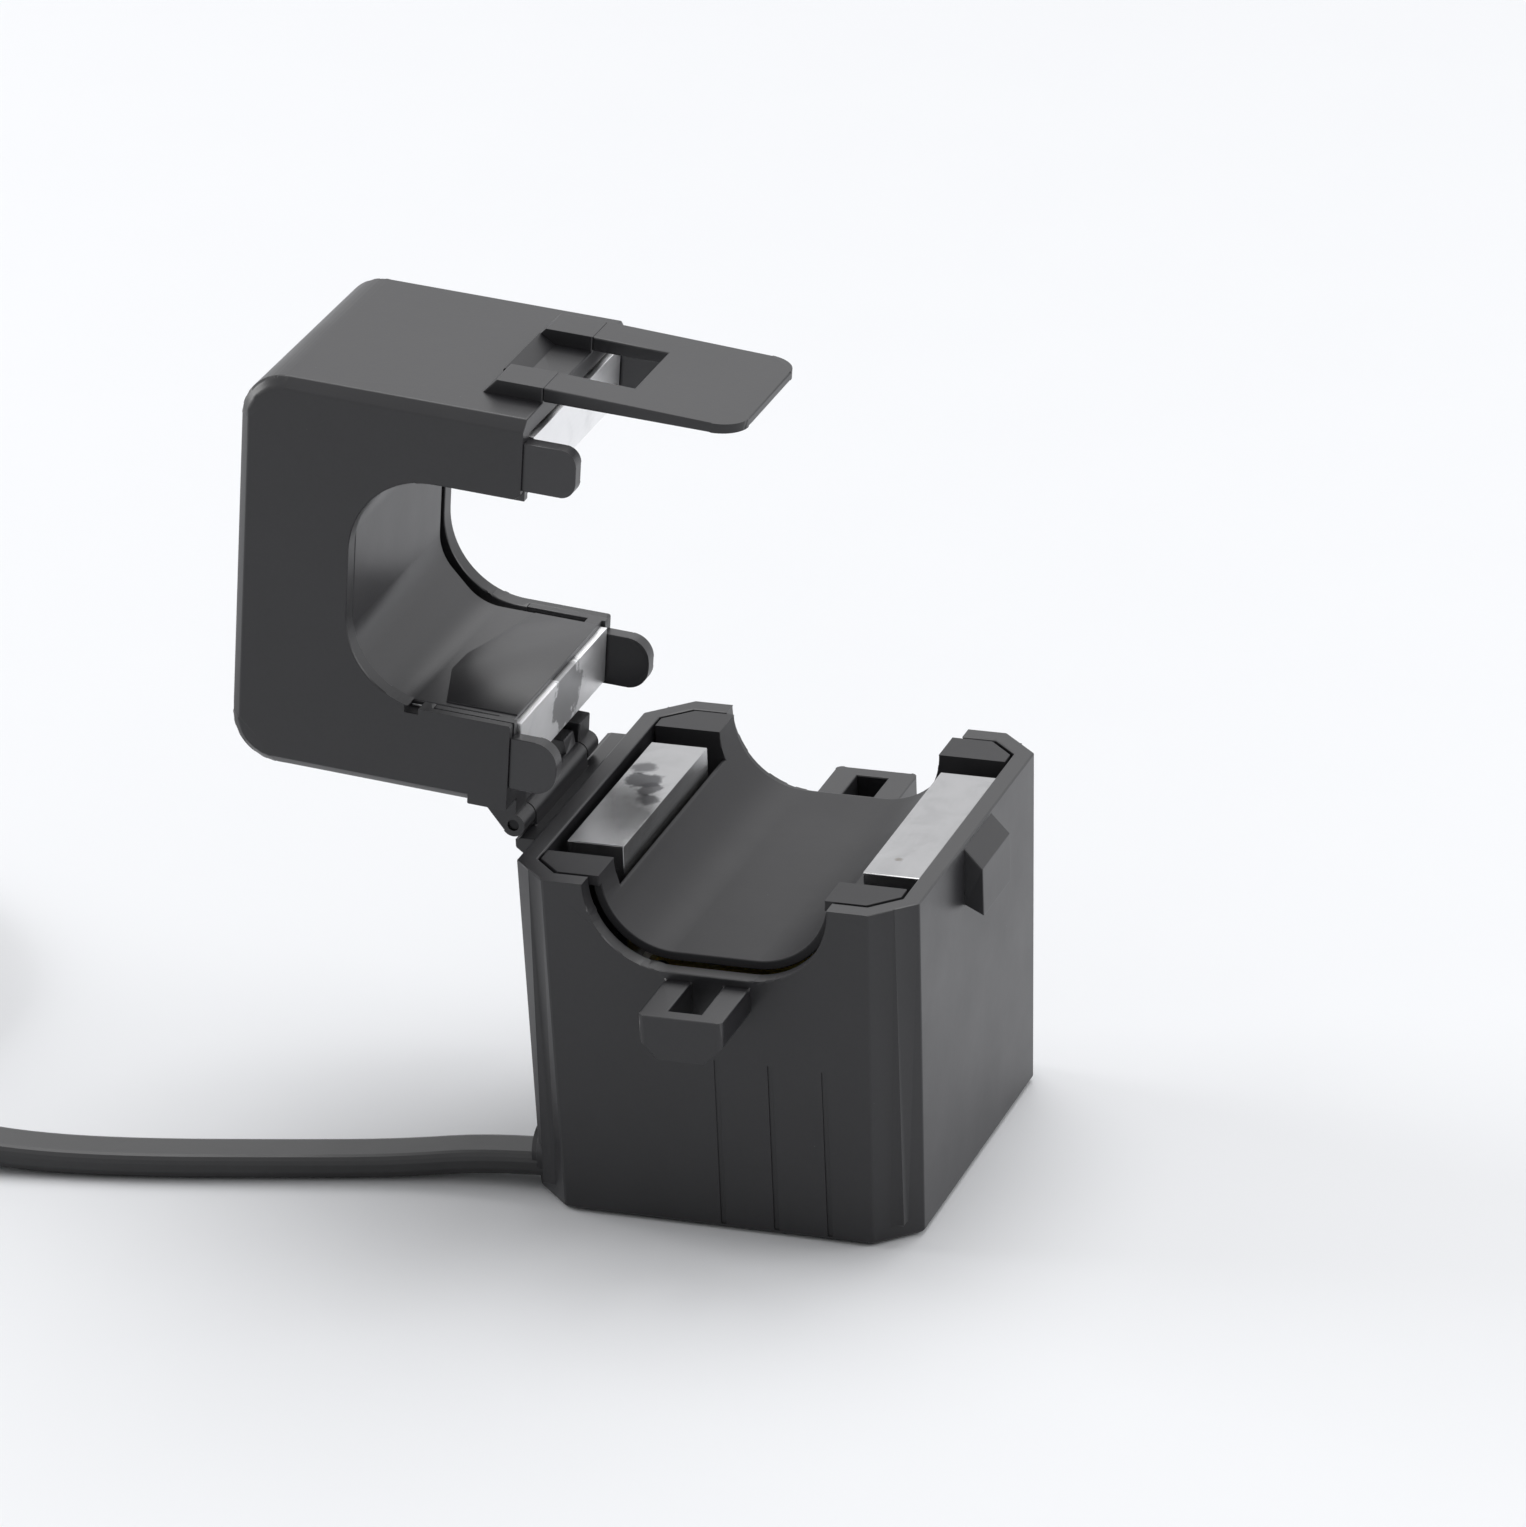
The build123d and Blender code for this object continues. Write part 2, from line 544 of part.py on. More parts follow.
# Inside the case: the cord's two cores, the splice sleeves and the winding's ends
wire_x0 = inner_x + bush_flange_t
lead_y = -core_d / 2
land_a, land_b = 2.3, 4.3         # where the two leads reach the winding
land_out, land_back = 1.95, 0.45
lands = (("a", -core_pitch / 2, bob_l + land_a, lead_y - land_out),
         ("b", core_pitch / 2, bob_l + land_b, lead_y + land_back))
for name, dy, land_x, land_y in lands:
    y = cord_y + dy
    inner_wire = wire([(wire_x0, y, cord_z), (splice_x, y, cord_z), (splice_x, y, splice_z)],
                      inner_wire_d / 2, 2.2, 8)
    export_step(inner_wire, "parts/inner_wire_" + name + ".step")
    sleeve = Pos(splice_x, y, splice_z + sleeve_len / 2) * Cylinder(sleeve_d / 2, sleeve_len)
    export_step(sleeve, "parts/splice_sleeve_" + name + ".step")
    lead_z = flange_z1 + lead_over
    lead = wire([(splice_x, y, splice_z + sleeve_len), (splice_x, y, lead_z), (land_x, land_y, lead_z),
                 (land_x, land_y, tape_top)], lead_d / 2, 0.9, 8)
    export_step(lead, "parts/winding_lead_" + name + ".step")

# Coil of the rest of the lead, lying flat, with a groove where the tie grips it
mid_x, mid_y2 = coil_mid
section = Pos(coil_r, coil_h / 2) * Rectangle(coil_w, coil_h)
section = chamfer(section.vertices(), coil_bevel)
coil = Pos(mid_x, mid_y2, 0) * revolve(Plane.XZ * section, Axis.Z)
tie_out = Pos(coil_r, coil_h / 2) * Rectangle(coil_w, coil_h)
tie_out = chamfer(tie_out.vertices(), coil_bevel)
tie_in = Pos(coil_r, coil_h / 2) * Rectangle(coil_w - 2 * tie_t, coil_h - 2 * tie_t)
tie_in = chamfer(tie_in.vertices(), coil_bevel - 0.6 * tie_t)
tie_turn = math.degrees(tie_w / coil_r)
band = revolve(Plane.XZ * (tie_out - tie_in), Axis.Z, revolution_arc=tie_turn)
band = Pos(mid_x, mid_y2, 0) * Rot(0, 0, tie_at) * band
coil -= band
export_step(coil, "parts/cord_coil.step")
export_step(band, "parts/coil_tie.step")

# Cord from the bush to the coil: straight runs joined by arcs as large as they allow
points = [Vector(wire_x0, cord_y, cord_z)] + [Vector(*p) for p in cord_run]
radii = []
for p, q, t in zip(points, points[1:], points[2:]):
    turn = math.radians((q - p).get_angle(t - q))
    radii.append(0.45 * min((q - p).length, (t - q).length) / math.tan(turn / 2))
print("cord radii", [round(r, 1) for r in radii])
route = FilletPolyline(*points, radius=radii)
tube = sweep(Plane(origin=route @ 0, z_dir=route % 0) * Circle(cord_d / 2), path=route)
print("tube volume over section times length", tube.volume / (math.pi * cord_d ** 2 / 4 * route.length))
print("cord length to the coil", route.length)
export_step(tube, "parts/cord.step")

# The far end: the lead leaves the coil and ends in two cores with ferrules
tail_y = mid_y2 - coil_r
tail_x0 = mid_x - tail_in   # the lead comes out of the bundle here
tail_x1 = mid_x - tail_len
tail = Pos((tail_x0 + tail_x1) / 2, tail_y, cord_d / 2) * Rot(0, 90, 0) * Cylinder(
    cord_d / 2, tail_x0 - tail_x1)
export_step(tail, "parts/cord_tail.step")
for name, sy in (("a", 1), ("b", -1)):
    start = Vector(tail_x1, tail_y + sy * core_pitch / 2, cord_d / 2)
    out = start - Vector(core_wire_len * 0.2, 0, 0)
    bend = out + Vector(-core_wire_len * 0.35, sy * 1.0, core_wire_d / 2 - cord_d / 2)
    end = bend + Vector(-core_wire_len * 0.45, sy * 2.2, 0)
    end_wire = wire([start, out, bend, end], core_wire_d / 2, 5)
    export_step(end_wire, "parts/end_wire_" + name + ".step")
    ferrule_plane = Plane(origin=end, z_dir=end - bend)
    ferrule = extrude(ferrule_plane * Circle(ferrule_d / 2), amount=ferrule_len)
    collar = extrude(ferrule_plane * Circle(core_wire_d / 2), amount=1.2)
    export_step(ferrule + collar, "parts/ferrule_" + name + ".step")
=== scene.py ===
import bpy, bmesh, math
from mathutils import Matrix, Vector


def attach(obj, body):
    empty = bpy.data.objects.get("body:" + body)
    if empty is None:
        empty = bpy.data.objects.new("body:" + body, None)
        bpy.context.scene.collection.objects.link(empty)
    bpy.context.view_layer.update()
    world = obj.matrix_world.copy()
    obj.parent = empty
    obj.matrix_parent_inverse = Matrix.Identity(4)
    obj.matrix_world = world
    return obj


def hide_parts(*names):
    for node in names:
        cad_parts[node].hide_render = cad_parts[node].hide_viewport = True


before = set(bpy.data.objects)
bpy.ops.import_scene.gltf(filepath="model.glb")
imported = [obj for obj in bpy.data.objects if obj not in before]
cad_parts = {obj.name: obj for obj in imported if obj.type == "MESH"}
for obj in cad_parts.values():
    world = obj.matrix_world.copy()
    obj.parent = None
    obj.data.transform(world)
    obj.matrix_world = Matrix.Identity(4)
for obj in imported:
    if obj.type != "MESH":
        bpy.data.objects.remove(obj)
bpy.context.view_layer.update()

# The view: the photograph's angle, from the front right and a little above, with a long lens.
# Its place and its three directions were worked out from the case's straight edges.
picture_wide = 1526.0     # pixels
focal_length = 9024.0     # pixels
film_wide = 36.0          # millimetres
camera_at = Vector((295.54, -835.76, 431.28)) / 1000
right = Vector((0.94651, 0.32091, -0.03358))
upward = Vector((-0.09948, 0.38924, 0.91575))
ahead = Vector((-0.30694, 0.86343, -0.40035))
camera_data = bpy.data.cameras.new("camera")
camera_data.sensor_fit = "HORIZONTAL"
camera_data.sensor_width = film_wide
camera_data.lens = focal_length * film_wide / picture_wide
camera_data.clip_start, camera_data.clip_end = 0.01, 20.0
camera = bpy.data.objects.new("camera", camera_data)
turn = Matrix((right, upward, -ahead)).transposed().to_4x4()
camera.matrix_world = Matrix.Translation(camera_at) @ turn
bpy.context.scene.collection.objects.link(camera)
bpy.context.scene.camera = camera
bpy.context.scene.view_settings.view_transform = "Standard"

# The lead: a flat twin in one grey-black PVC sheath, 5.4 mm wide and half as thick. It comes out
# through the bush low on the hinge side, lies on the floor, and the rest of its 1 m is coiled.
# Every turn lies flat: part of one on top, two lanes in the middle layer and two on the floor.
lead_wide = 0.0054
lead_thick = 0.0027
lead_corner = 0.0009
sheath_end = -0.1590
lead_route = [(-0.0196, -0.0174, 0.0027), (-0.0280, -0.0174, 0.0024), (-0.0380, -0.0196, 0.0014),
              (-0.0490, -0.0226, 0.00138), (-0.0660, -0.0269, 0.00138), (-0.0780, -0.0287, 0.0015),
              (-0.0870, -0.0295, 0.0024), (-0.0990, -0.0300, 0.0064), (-0.1100, -0.0300, 0.0069)]
coil_middle = (-0.1390, 0.0024)
lane_in, lane_out = 0.02965, 0.03515
lane_mid = (lane_in + lane_out) / 2
floor_layer, middle_layer, top_layer = 0.0014, 0.00415, 0.0069
# how far round the lead has gone where it changes lane or layer, in degrees, with its radius
# and height there; it winds clockwise from the coil's near side
changes = [(0, lane_mid, top_layer), (90, lane_mid, top_layer), (125, lane_out, middle_layer),
           (430, lane_out, middle_layer), (465, lane_in, middle_layer), (755, lane_in, middle_layer),
           (790, lane_in, floor_layer), (1080, lane_in, floor_layer), (1115, lane_out, floor_layer),
           (1440, lane_out, floor_layer)]
near_side = 270.0
turn_step = 15.0
pulled_in = 0.9935        # the smooth line runs inside its points by this share
turn_points = []
for step in range(round(changes[-1][0] / turn_step)):
    gone = step * turn_step
    for (a0, r0, z0), (a1, r1, z1) in zip(changes, changes[1:]):
        if a0 <= gone <= a1:
            share = (gone - a0) / (a1 - a0)
            share = share * share * (3 - 2 * share)
            reach = (r0 + (r1 - r0) * share) / pulled_in
            height = z0 + (z1 - z0) * share
    turned = math.radians(near_side - gone)
    turn_points.append((coil_middle[0] + reach * math.cos(turned),
                        coil_middle[1] + reach * math.sin(turned), height))
lead_end = [(-0.1440, -0.03290, floor_layer), (-0.1480, -0.03280, floor_layer),
            (-0.1530, -0.0322, floor_layer), (sheath_end, -0.0312, floor_layer)]
lead_points = lead_route + turn_points + lead_end


def smooth_line(name, points, fineness):
    """A NURBS line through given points; returns the points read along it."""
    line = bpy.data.curves.new(name, "CURVE")
    line.dimensions = "3D"
    line.resolution_u = fineness
    spline = line.splines.new("NURBS")
    spline.points.add(len(points) - 1)
    for point, at in zip(spline.points, points):
        point.co = (*at, 1.0)
    spline.order_u = 3
    spline.use_endpoint_u = True
    holder = bpy.data.objects.new(name, line)
    bpy.context.scene.collection.objects.link(holder)
    bpy.context.view_layer.update()
    read = bpy.data.meshes.new_from_object(holder)
    along = [vertex.co.copy() for vertex in read.vertices]
    bpy.data.meshes.remove(read)
    bpy.data.objects.remove(holder)
    return along


def flat_section(wide, thick, corner, arc_steps):
    """A rectangle with round corners, as across and up distances."""
    ring = []
    for cx, cz, first in ((1, 1, 0), (-1, 1, 90), (-1, -1, 180), (1, -1, 270)):
        for k in range(arc_steps + 1):
            turned = math.radians(first + 90.0 * k / arc_steps)
            ring.append((cx * (wide / 2 - corner) + corner * math.cos(turned),
                         cz * (thick / 2 - corner) + corner * math.sin(turned)))
    return ring


def skin_along(name, along, section):
    """Carries a section along a line, always lying flat, and closes both ends."""
    mesh = bpy.data.meshes.new(name)
    build = bmesh.new()
    rows = []
    for k, at in enumerate(along):
        onward = along[min(k + 1, len(along) - 1)] - along[max(k - 1, 0)]
        across = Vector((0, 0, 1)).cross(onward).normalized()
        lift = onward.cross(across).normalized()
        rows.append([build.verts.new(at + across * u + lift * v) for u, v in section])
    for first, second in zip(rows, rows[1:]):
        for j in range(len(section)):
            i = (j + 1) % len(section)
            build.faces.new((first[j], first[i], second[i], second[j]))
    build.faces.new(rows[0])
    build.faces.new(rows[-1])
    bmesh.ops.recalc_face_normals(build, faces=build.faces)
    build.to_mesh(mesh)
    build.free()
    piece = bpy.data.objects.new(name, mesh)
    bpy.context.scene.collection.objects.link(piece)
    return piece


lead_line = smooth_line("lead_line", lead_points, fineness=5)
lead_section = flat_section(lead_wide, lead_thick, lead_corner, arc_steps=3)
lead = skin_along("twin_lead", lead_line, lead_section)
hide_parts("cord", "cord_coil", "cord_tail")
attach(lead, "base")


# Its finish: soft PVC, charcoal, with a faint sheen, cloudy patches and shallow ripples.
class Flow:
    """A socket's value, on which sums write the shader's own nodes."""

    tree = None

    def __init__(self, socket):
        self.socket = socket

    @classmethod
    def node(cls, kind, settings=None, stops=None, out=0, **sockets):
        """Any node; a socket is named by its words, or by n and its number."""
        made = cls.tree.nodes.new(kind)
        for name, value in (settings or {}).items():
            setattr(made, name, value)
        if stops:
            ramp = made.color_ramp
            while len(ramp.elements) < len(stops):
                ramp.elements.new(0.5)
            for element, (place, colour) in zip(ramp.elements, stops):
                element.position = place
                element.color = (*colour, 1.0)
        for name, value in sockets.items():
            numbered = name[0] == "n" and name[1:].isdigit()
            socket = made.inputs[int(name[1:])] if numbered else made.inputs[name.replace("_", " ")]
            if isinstance(value, Flow):
                cls.tree.links.new(value.socket, socket)
            else:
                socket.default_value = value
        return cls(made.outputs[out])

    def maths(self, operation, *others):
        sockets = {"n%d" % (k + 1): other for k, other in enumerate(others)}
        return Flow.node("ShaderNodeMath", {"operation": operation}, n0=self, **sockets)

    def __add__(self, other):
        return self.maths("ADD", other)

    __radd__ = __add__

    def __mul__(self, other):
        return self.maths("MULTIPLY", other)

    __rmul__ = __mul__

    def __sub__(self, other):
        return self.maths("SUBTRACT", other)

    def __rsub__(self, other):
        return self * -1.0 + other

    def __gt__(self, other):
        return self.maths("GREATER_THAN", other)

    def __lt__(self, other):
        return self.maths("LESS_THAN", other)


def emptied(owner):
    """The node tree of a material or a world, with nothing in it."""
    owner.use_nodes = True
    owner.node_tree.nodes.clear()
    return owner.node_tree


def finish_of(name, **uniform):
    """A new material with one principled shader; returns both."""
    material = bpy.data.materials.new(name)
    Flow.tree = emptied(material)
    out = Flow.tree.nodes.new("ShaderNodeOutputMaterial")
    shader = Flow.tree.nodes.new("ShaderNodeBsdfPrincipled")
    Flow.tree.links.new(shader.outputs[0], out.inputs["Surface"])
    for socket, value in uniform.items():
        shader.inputs[socket.replace("_", " ")].default_value = value
    return material, shader


def feed(shader, **links):
    """Links what changes over the surface to the shader."""
    for socket, value in links.items():
        Flow.tree.links.new(value.socket, shader.inputs[socket.replace("_", " ")])


def own_place():
    """Where a point lies in the piece's own frame, in metres."""
    return Flow.node("ShaderNodeTexCoord", out="Object")


def patchy(place, scale, detail, **more):
    """Soft uneven patches between 0 and 1, about so many to the metre."""
    return Flow.node("ShaderNodeTexNoise", Vector=place, Scale=scale, Detail=detail, **more)


def graded(share, *stops):
    """The colour at a share of a ramp, whose stops are each a place and a colour."""
    return Flow.node("ShaderNodeValToRGB", stops=stops, Fac=share)


def around(middle, pattern, spread):
    """A number that strays from its middle as a pattern does, over a spread."""
    return pattern * spread + (middle - spread / 2)


def bumped(height, strength, depth=0.0001):
    return Flow.node("ShaderNodeBump", Strength=strength, Distance=depth, Height=height)


def dress(piece, material):
    """Gives a piece, or a CAD node by name, its only finish."""
    piece = bpy.data.objects[piece] if isinstance(piece, str) else piece
    piece.data.materials.clear()
    piece.data.materials.append(material)


def soft_pvc(name, dark, light, shine):
    material, shader = finish_of(name, Specular_IOR_Level=0.5)
    place = own_place()
    cloud = patchy(place, 140.0, 4.0, Roughness=0.6)
    ripple = patchy(place, 700.0, 2.0, Roughness=0.5)
    feed(shader, Base_Color=graded(cloud, (0.35, dark), (0.68, light)),
         Roughness=around(shine, cloud, 0.18), Normal=bumped(ripple, 0.12))
    return material


dress(lead, soft_pvc("charcoal_pvc", (0.017, 0.017, 0.018), (0.024, 0.024, 0.025), shine=0.46))

# The lead's far end: the sheath is cut square, and the two cores, one white and one black, come
# out of it side by side. Each has a crimped tin ferrule with a small collar.
core_thick = 0.0022
core_apart = 0.0013       # each core's middle from the sheath's
end_y = -0.0300
core_ring = [(math.cos(k * math.pi / 8) * core_thick / 2, math.sin(k * math.pi / 8) * core_thick / 2)
             for k in range(16)]
end_pieces = []
for tag, side, dark, light, slot in (
        ("a", 1, (0.62, 0.61, 0.58), (0.70, 0.69, 0.66), "white_core"),
        ("b", -1, (0.020, 0.020, 0.021), (0.030, 0.030, 0.031), "black_core")):
    core_y = end_y + side * core_apart
    core_route = [(sheath_end + 0.001, core_y - 0.0008, floor_layer), (sheath_end - 0.0036, core_y, 0.0022),
                  (sheath_end - 0.0099, core_y + side * 0.0010, core_thick / 2),
                  (sheath_end - 0.0180, core_y + side * 0.0032, core_thick / 2)]
    core_line = smooth_line("core_line", core_route, fineness=8)
    core = skin_along("end_core_" + tag, core_line, core_ring)
    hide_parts("end_wire_" + tag)
    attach(core, "base")
    dress(core, soft_pvc("core_pvc_" + tag, dark, light, shine=0.38))
    end_pieces += [core, bpy.data.objects["ferrule_" + tag]]
tinned, shader = finish_of("tinned_copper", Metallic=1.0, Specular_IOR_Level=0.5)
place = own_place()
crimp = Flow.node("ShaderNodeTexWave", {"wave_type": "BANDS", "bands_direction": "X"}, Vector=place,
                  Scale=330.0, Distortion=0.3)
dull = patchy(place, 900.0, 3.0)
feed(shader, Base_Color=graded(dull, (0.3, (0.55, 0.55, 0.54)), (0.7, (0.74, 0.74, 0.72))),
     Roughness=around(0.32, dull, 0.2), Normal=bumped(crimp, 0.35, 0.0002))
for node in ("ferrule_a", "ferrule_b"):
    dress(node, tinned)

# The tie round the coil: one black nylon strip, pulled tight, with its square ratchet head on top.
# It is moulded in one, and its tail is cut off short.
tie_angle = math.radians(134.0)     # where it goes round the coil
tie_wide, tie_thick = 0.0046, 0.0008
band_at, band_size = (lane_mid, 0, 0.00292), (0.0113, tie_wide, 0.0058)
head_at, head_size = (lane_mid + 0.001, 0, 0.0072), (0.0058, 0.0064, 0.0040)
tail_at, tail_size = (lane_mid - 0.0024, 0, 0.0070), (0.0034, tie_wide, 0.0012)


def settle():
    """Puts the selected piece's place, turn and size into its mesh."""
    bpy.ops.object.transform_apply(location=True, rotation=True, scale=True)


def tie_block(at, size, corner):
    """One more rounded block of the tie, in edit mode."""
    bpy.ops.mesh.select_all(action="DESELECT")
    bpy.ops.mesh.primitive_cube_add(size=1.0, location=at)
    bpy.ops.transform.resize(value=size)
    bpy.ops.mesh.bevel(offset=corner, segments=2)


bpy.ops.object.select_all(action="DESELECT")
bpy.ops.mesh.primitive_cube_add(size=1.0, location=band_at)
tie = bpy.context.object
tie.name = "nylon_tie"
bpy.ops.transform.resize(value=band_size)
settle()
bpy.ops.object.mode_set(mode="EDIT")
bpy.ops.mesh.select_all(action="SELECT")
bpy.ops.mesh.bevel(offset=0.0012, segments=3)
# the block becomes a band: its two sides are opened and joined by an inner face
tie_mesh = bmesh.from_edit_mesh(tie.data)
for face in tie_mesh.faces:
    face.select_set(abs(face.normal.y) > 0.99)
bmesh.update_edit_mesh(tie.data)
bpy.ops.mesh.inset(thickness=tie_thick)
bpy.ops.mesh.delete(type="FACE")
tie_mesh = bmesh.from_edit_mesh(tie.data)
for edge in tie_mesh.edges:
    edge.select_set(edge.is_boundary)
bmesh.update_edit_mesh(tie.data)
bpy.ops.mesh.bridge_edge_loops()
tie_block(head_at, head_size, corner=0.0006)
tie_block(tail_at, tail_size, corner=0.0003)
bpy.ops.mesh.select_all(action="SELECT")
bpy.ops.mesh.normals_make_consistent(inside=False)
bpy.ops.object.mode_set(mode="OBJECT")
tie_place = Matrix.Translation((coil_middle[0], coil_middle[1], 0))
tie.matrix_world = tie_place @ Matrix.Rotation(tie_angle, 4, "Z")
settle()
bpy.ops.object.shade_smooth_by_angle(angle=math.radians(35))
black_nylon, shader = finish_of("black_nylon", Specular_IOR_Level=0.5)
cloud = patchy(own_place(), 400.0, 3.0)
feed(shader, Base_Color=graded(cloud, (0.3, (0.018, 0.018, 0.019)), (0.7, (0.03, 0.03, 0.031))),
     Roughness=around(0.375, cloud, 0.15), Normal=bumped(cloud, 0.1))
dress(tie, black_nylon)
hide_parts("coil_tie")
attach(tie, "base")

# The setting: a sheet of pale card under one broad soft light, with a smaller soft box on the
# right and one on the left. The room is a dim even grey to the surfaces that it lights, and pale
# where the camera or a gloss looks at it.
world = bpy.data.worlds.new("studio")
bpy.context.scene.world = world
Flow.tree = emptied(world)
rays = Flow.tree.nodes.new("ShaderNodeLightPath")
room_soft = Flow.node("ShaderNodeBackground", Color=(1.0, 1.0, 1.0, 1.0), Strength=0.34)
room_seen = Flow.node("ShaderNodeBackground", Color=(0.93, 0.935, 0.95, 1.0), Strength=1.0)
looked_at = Flow(rays.outputs["Is Camera Ray"])
for ray in ("Is Glossy Ray", "Is Transmission Ray"):
    looked_at = looked_at.maths("MAXIMUM", Flow(rays.outputs[ray]))
room = Flow.node("ShaderNodeMixShader", Fac=looked_at, n1=room_soft, n2=room_seen)
room_out = Flow.tree.nodes.new("ShaderNodeOutputWorld")
Flow.tree.links.new(room.socket, room_out.inputs["Surface"])


def studio_lamp(name, kind, place, aim, power, **settings):
    lamp = bpy.data.lights.new(name, kind)
    lamp.energy = power
    for setting, value in settings.items():
        setattr(lamp, setting, value)
    holder = bpy.data.objects.new(name, lamp)
    bpy.context.scene.collection.objects.link(holder)
    holder.location = place
    holder.rotation_mode = "QUATERNION"
    holder.rotation_quaternion = (Vector(aim) - Vector(place)).to_track_quat("-Z", "Y")


studio_lamp("ceiling", "SUN", place=(-0.05, 0.45, 0.90), aim=(0, 0, 0), power=1.75,
            angle=math.radians(50))
studio_lamp("right_box", "AREA", place=(0.95, 0.25, 0.50), aim=(0, 0, 0.04), power=4.6,
            shape="RECTANGLE", size=0.7, size_y=0.7)
studio_lamp("left_box", "AREA", place=(-1.10, 0.05, 0.40), aim=(0, 0, 0.03), power=5.6,
            shape="RECTANGLE", size=0.6, size_y=0.6)

card_wide = 8.0
card_drop = 0.0002        # it lies a hair under the case, so that no two faces meet
bpy.ops.object.select_all(action="DESELECT")
bpy.ops.mesh.primitive_plane_add(size=card_wide, location=(0, 0, -card_drop))
floor = bpy.context.object
floor.name = "floor"
settle()
pale_card, card = finish_of("pale_card", Roughness=0.9, Specular_IOR_Level=0.1)
fibre = patchy(own_place(), 35.0, 3.0)
feed(card, Base_Color=graded(fibre, (0.3, (0.843, 0.853, 0.876)), (0.7, (0.848, 0.858, 0.880))))
dress(floor, pale_card)

# The base case: a deep box moulded in charcoal glass-filled nylon, with a slotted lug at each
# end, a catch on the right and the hinge's ledge on the left. Its mould gave it a fine satin.
case_ease = 0.00018
sharp_from = math.radians(24)     # a bend as sharp as this is a corner, and is eased
broad_from = 1.2                  # a face narrower than this times the easing stays as it is


def eased(name, node, body, width):
    """A piece's own shape with its corners eased, as its mould or a stone leaves them."""
    bpy.ops.object.select_all(action="DESELECT")
    piece = bpy.data.objects.new(name, bpy.data.objects[node].data.copy())
    bpy.context.scene.collection.objects.link(piece)
    bpy.context.view_layer.objects.active = piece
    piece.select_set(True)
    bpy.ops.object.mode_set(mode="EDIT")
    bpy.ops.mesh.select_all(action="SELECT")
    bpy.ops.mesh.remove_doubles(threshold=0.000003)
    bpy.ops.mesh.dissolve_limited(angle_limit=math.radians(0.5))
    bpy.ops.mesh.quads_convert_to_tris(quad_method="BEAUTY", ngon_method="BEAUTY")
    bpy.ops.object.mode_set(mode="OBJECT")
    shape = bmesh.new()
    shape.from_mesh(piece.data)
    weight = shape.edges.layers.float.new("bevel_weight_edge")
    for edge in shape.edges:
        sharp = len(edge.link_faces) == 2 and edge.calc_face_angle() > sharp_from
        breadths = [f.calc_area() / max(e.calc_length() for e in f.edges) for f in edge.link_faces]
        broad = all(breadth > broad_from * width for breadth in breadths)
        edge[weight] = 1.0 if sharp and broad and edge.is_convex else 0.0
    shape.to_mesh(piece.data)
    shape.free()
    ease = piece.modifiers.new("ease", "BEVEL")
    ease.width, ease.segments = width, 2
    ease.limit_method = "WEIGHT"
    bpy.ops.object.modifier_apply(modifier="ease")
    bpy.ops.object.shade_smooth_by_angle(angle=math.radians(20))
    flat = piece.modifiers.new("flat", "WEIGHTED_NORMAL")
    flat.keep_sharp = True
    bpy.ops.object.modifier_apply(modifier="flat")
    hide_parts(node)
    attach(piece, body)
    return piece


def tinted(first, second, share):
    """One colour going over to another by a share."""
    return Flow.node("ShaderNodeMix", {"data_type": "RGBA"}, out=2, n0=share, n6=first, n7=second)


def moulding(name, tone, shine, gloss, dust=0.10, grain=0.04):
    """Charcoal nylon out of a satin mould: its mean grey, its mean roughness and its gloss."""
    material, shader = finish_of(name, Specular_IOR_Level=gloss)
    place = own_place()
    cloud = patchy(place, 90.0, 4.0, Roughness=0.6)
    fine = patchy(place, 2600.0, 2.0, Roughness=0.6)
    mote = Flow.node("ShaderNodeTexVoronoi", Vector=place, Scale=420.0, Randomness=1.0)
    dusty = patchy(place, 160.0, 1.0) > 0.62
    low, high = tone * 0.88, tone * 1.12
    nylon = graded(cloud * 0.7 + fine * 0.3, (0.35, (low, low * 0.98, low * 1.10)),
                   (0.65, (high, high * 0.98, high * 1.10)))
    dusted = tinted(nylon, (0.45, 0.45, 0.46, 1.0), (mote < 0.035) * dusty * dust)
    feed(shader, Base_Color=dusted, Roughness=around(shine, cloud, 0.16), Normal=bumped(fine, grain))
    return material


case_black = moulding("case_black", tone=0.015, shine=0.36, gloss=0.49)
base_shell = eased("base_shell", "base_case", "base", case_ease)
dress(base_shell, case_black)

# The base liner: saddle and decks, one thin moulding pressed into the base case over the winding.
# It closes the case off, and the conductor lies on its saddle.
liner_ease = 0.00012
liner_black = moulding("liner_black", tone=0.015, shine=0.56, gloss=0.38, dust=0.30)
base_inlay = eased("base_inlay", "base_liner", "base", liner_ease)
dress(base_inlay, liner_black)


# What the base holds inside: a foam pad, a nylon bobbin with its copper winding and yellow tape,
# two leads soldered to the cord's cores, and a shrunk sleeve over each joint.
def plain_finish(name, low, high, patch, shine, bumps, **uniform):
    """A finish mottled from low to high over patches of one size, with some relief."""
    material, shader = finish_of(name, **uniform)
    mottle = patchy(own_place(), patch, 4.0, Roughness=0.6)
    feed(shader, Base_Color=graded(mottle, (0.32, low), (0.68, high)),
         Roughness=around(shine, mottle, 0.16), Normal=bumped(mottle, bumps))
    return material


